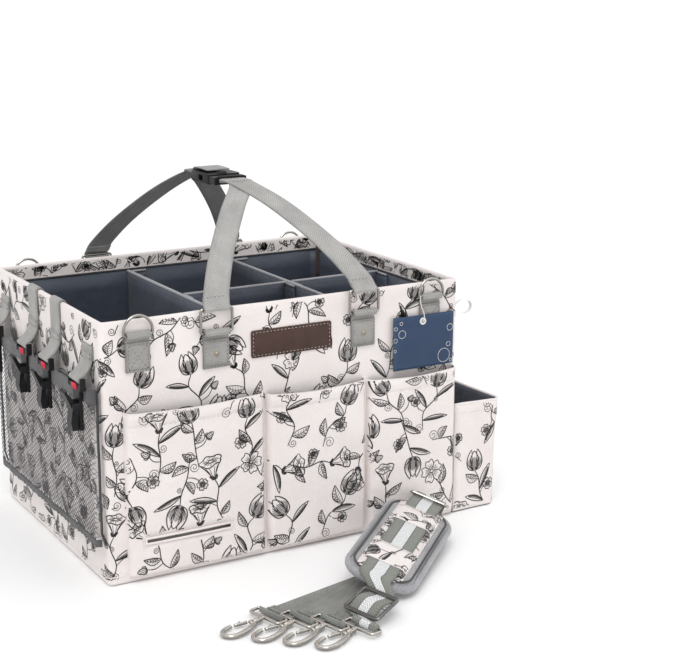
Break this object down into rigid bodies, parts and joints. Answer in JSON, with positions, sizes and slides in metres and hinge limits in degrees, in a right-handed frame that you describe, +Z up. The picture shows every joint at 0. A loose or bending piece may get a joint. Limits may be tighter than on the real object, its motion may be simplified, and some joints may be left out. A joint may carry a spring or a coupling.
{
  "type": "cleaning caddy",
  "caption": "Open-topped rectangular fabric caddy with dividers, outer pockets, clips, clipped carry handles and a loose padded shoulder strap.",
  "frame": {"origin": "centre of the base's underside, on the floor", "axes": "+X to the right along the front, +Y to the back, +Z up; the front faces -Y"},
  "size_m": [0.4853, 0.5336, 0.3667],
  "materials": {
    "fabric": "matt woven fabric, off-white with a pink tint",
    "lining": "coated cloth, slate",
    "webbing": "ribbed webbing, grey",
    "net": "open net, dark grey",
    "steel": "polished nickel",
    "dark_steel": "polished, dark",
    "plastic": "moulded, black",
    "pad": "spacer mesh, grey"
  },
  "bodies": {
    "caddy": {"front_panel": "fabric", "back_panel": "fabric", "left_panel": "fabric", "right_panel": "fabric", "base_board": "fabric", "lining": "lining", "front_pocket_left": "fabric", "front_pocket_middle": "fabric", "front_pocket_right": "fabric", "side_pocket": "fabric", "back_pocket": "fabric", "mesh_pocket": "net", "d_ring_tab_front_left": "webbing", "d_ring_tab_front_right": "webbing", "d_ring_tab_back_left": "webbing", "d_ring_tab_back_right": "webbing", "handle_tab_front_left": "webbing", "handle_tab_front_right": "webbing", "handle_tab_back_left": "webbing", "handle_tab_back_right": "webbing"},
    "d_ring_front_left_body": {"d_ring_front_left": "steel"},
    "d_ring_front_right_body": {"d_ring_front_right": "steel"},
    "d_ring_back_left_body": {"d_ring_back_left": "steel"},
    "d_ring_back_right_body": {"d_ring_back_right": "steel"},
    "front_handle": {"front_handle_strap": "webbing", "handle_ring_front_left": "steel", "handle_ring_front_right": "steel", "buckle_plug": "plastic"},
    "back_handle": {"back_handle_strap": "webbing", "handle_ring_back_left": "steel", "handle_ring_back_right": "steel", "buckle_socket": "plastic"},
    "clip_1": {"clip_body_1": "plastic"},
    "clip_1_lever": {"clip_lever_1": "plastic"},
    "clip_2": {"clip_body_2": "plastic"},
    "clip_2_lever": {"clip_lever_2": "plastic"},
    "clip_3": {"clip_body_3": "plastic"},
    "clip_3_lever": {"clip_lever_3": "plastic"},
    "clip_4": {"clip_body_4": "plastic"},
    "clip_4_lever": {"clip_lever_4": "plastic"},
    "cross_divider_left_board": {"cross_divider_left": "lining"},
    "cross_divider_right_board": {"cross_divider_right": "lining"},
    "middle_divider_board": {"middle_divider": "lining"},
    "right_divider_board": {"right_divider": "lining"},
    "shoulder_strap": {"shoulder_pad": "pad", "shoulder_webbing": "webbing", "strap_slider_near": "dark_steel", "strap_slider_far": "steel", "hook_ring_1": "steel", "hook_ring_2": "steel", "hook_ring_3": "steel", "hook_ring_4": "steel"},
    "hook_1": {"hook_body_1": "steel"},
    "hook_1_gate": {"hook_gate_1": "steel"},
    "hook_2": {"hook_body_2": "steel"},
    "hook_2_gate": {"hook_gate_2": "steel"},
    "hook_3": {"hook_body_3": "steel"},
    "hook_3_gate": {"hook_gate_3": "steel"},
    "hook_4": {"hook_body_4": "steel"},
    "hook_4_gate": {"hook_gate_4": "steel"}
  },
  "joints": [
    {"name": "d_ring_front_left_swing", "type": "hinge", "parent": "caddy", "child": "d_ring_front_left_body", "pos_m": [-0.1635, -0.1545, 0.2475], "axis": [1, 0, 0], "range_deg": [0, 165]},
    {"name": "d_ring_front_right_swing", "type": "hinge", "parent": "caddy", "child": "d_ring_front_right_body", "pos_m": [0.1635, -0.1545, 0.2475], "axis": [1, 0, 0], "range_deg": [0, 165]},
    {"name": "d_ring_back_left_swing", "type": "hinge", "parent": "caddy", "child": "d_ring_back_left_body", "pos_m": [-0.1635, 0.1545, 0.2475], "axis": [1, 0, 0], "range_deg": [-165, 0]},
    {"name": "d_ring_back_right_swing", "type": "hinge", "parent": "caddy", "child": "d_ring_back_right_body", "pos_m": [0.1635, 0.1545, 0.2475], "axis": [1, 0, 0], "range_deg": [-165, 0]},
    {"name": "front_handle_swing", "type": "hinge", "parent": "caddy", "child": "front_handle", "pos_m": [0, -0.1545, 0.24], "axis": [1, 0, 0], "range_deg": [0, 170]},
    {"name": "back_handle_swing", "type": "hinge", "parent": "caddy", "child": "back_handle", "pos_m": [0, 0.1545, 0.24], "axis": [1, 0, 0], "range_deg": [-170, 0]},
    {"name": "clip_1_swing", "type": "hinge", "parent": "caddy", "child": "clip_1", "pos_m": [-0.213, 0.12, 0.2045], "axis": [0, 1, 0], "range_deg": [0, 100]},
    {"name": "clip_1_squeeze", "type": "hinge", "parent": "clip_1", "child": "clip_1_lever", "pos_m": [-0.2182, 0.12, 0.1785], "axis": [0, 1, 0], "range_deg": [0, 20], "stiffness_Nm_per_rad": 0.02, "springref_deg": -5.73},
    {"name": "clip_2_swing", "type": "hinge", "parent": "caddy", "child": "clip_2", "pos_m": [-0.213, 0.03, 0.2045], "axis": [0, 1, 0], "range_deg": [0, 100]},
    {"name": "clip_2_squeeze", "type": "hinge", "parent": "clip_2", "child": "clip_2_lever", "pos_m": [-0.2182, 0.03, 0.1785], "axis": [0, 1, 0], "range_deg": [0, 20], "stiffness_Nm_per_rad": 0.02, "springref_deg": -5.73},
    {"name": "clip_3_swing", "type": "hinge", "parent": "caddy", "child": "clip_3", "pos_m": [-0.213, -0.035, 0.2045], "axis": [0, 1, 0], "range_deg": [0, 100]},
    {"name": "clip_3_squeeze", "type": "hinge", "parent": "clip_3", "child": "clip_3_lever", "pos_m": [-0.2182, -0.035, 0.1785], "axis": [0, 1, 0], "range_deg": [0, 20], "stiffness_Nm_per_rad": 0.02, "springref_deg": -5.73},
    {"name": "clip_4_swing", "type": "hinge", "parent": "caddy", "child": "clip_4", "pos_m": [-0.213, -0.12, 0.2045], "axis": [0, 1, 0], "range_deg": [0, 100]},
    {"name": "clip_4_squeeze", "type": "hinge", "parent": "clip_4", "child": "clip_4_lever", "pos_m": [-0.2182, -0.12, 0.1785], "axis": [0, 1, 0], "range_deg": [0, 20], "stiffness_Nm_per_rad": 0.02, "springref_deg": -5.73},
    {"name": "cross_divider_left_lift", "type": "slide", "parent": "caddy", "child": "cross_divider_left_board", "axis": [0, 0, 1], "range_m": [0, 0.03]},
    {"name": "cross_divider_right_lift", "type": "slide", "parent": "caddy", "child": "cross_divider_right_board", "axis": [0, 0, 1], "range_m": [0, 0.03]},
    {"name": "middle_divider_lift", "type": "slide", "parent": "caddy", "child": "middle_divider_board", "axis": [0, 0, 1], "range_m": [0, 0.08]},
    {"name": "right_divider_lift", "type": "slide", "parent": "caddy", "child": "right_divider_board", "axis": [0, 0, 1], "range_m": [0, 0.24]},
    {"name": "shoulder_strap_lift", "type": "slide", "parent": "caddy", "child": "shoulder_strap", "axis": [0, 0, 1], "range_m": [0, 0.3]},
    {"name": "hook_1_swivel", "type": "hinge", "parent": "shoulder_strap", "child": "hook_1", "pos_m": [-0.10728, -0.29342, 0.0048], "axis": [-0.9691, -0.2416, -0.05], "range_deg": [-90, 90]},
    {"name": "hook_1_gate_open", "type": "hinge", "parent": "hook_1", "child": "hook_1_gate", "pos_m": [-0.12439, -0.29336, 0.00397], "axis": [-0.0485, -0.0121, 0.9987], "range_deg": [0, 20], "stiffness_Nm_per_rad": 0.02, "springref_deg": -5.73},
    {"name": "hook_2_swivel", "type": "hinge", "parent": "shoulder_strap", "child": "hook_2", "pos_m": [-0.08663, -0.31424, 0.0048], "axis": [-0.9691, -0.2416, -0.05], "range_deg": [-90, 90]},
    {"name": "hook_2_gate_open", "type": "hinge", "parent": "hook_2", "child": "hook_2_gate", "pos_m": [-0.10373, -0.31418, 0.00397], "axis": [-0.0485, -0.0121, 0.9987], "range_deg": [0, 20], "stiffness_Nm_per_rad": 0.02, "springref_deg": -5.73},
    {"name": "hook_3_swivel", "type": "hinge", "parent": "shoulder_strap", "child": "hook_3", "pos_m": [-0.06598, -0.33507, 0.0048], "axis": [-0.9691, -0.2416, -0.05], "range_deg": [-90, 90]},
    {"name": "hook_3_gate_open", "type": "hinge", "parent": "hook_3", "child": "hook_3_gate", "pos_m": [-0.08308, -0.335, 0.00397], "axis": [-0.0485, -0.0121, 0.9987], "range_deg": [0, 20], "stiffness_Nm_per_rad": 0.02, "springref_deg": -5.73},
    {"name": "hook_4_swivel", "type": "hinge", "parent": "shoulder_strap", "child": "hook_4", "pos_m": [-0.04533, -0.35589, 0.0048], "axis": [-0.9691, -0.2416, -0.05], "range_deg": [-90, 90]},
    {"name": "hook_4_gate_open", "type": "hinge", "parent": "hook_4", "child": "hook_4_gate", "pos_m": [-0.06243, -0.35582, 0.00397], "axis": [-0.0485, -0.0121, 0.9987], "range_deg": [0, 20], "stiffness_Nm_per_rad": 0.02, "springref_deg": -5.73}
  ]
}
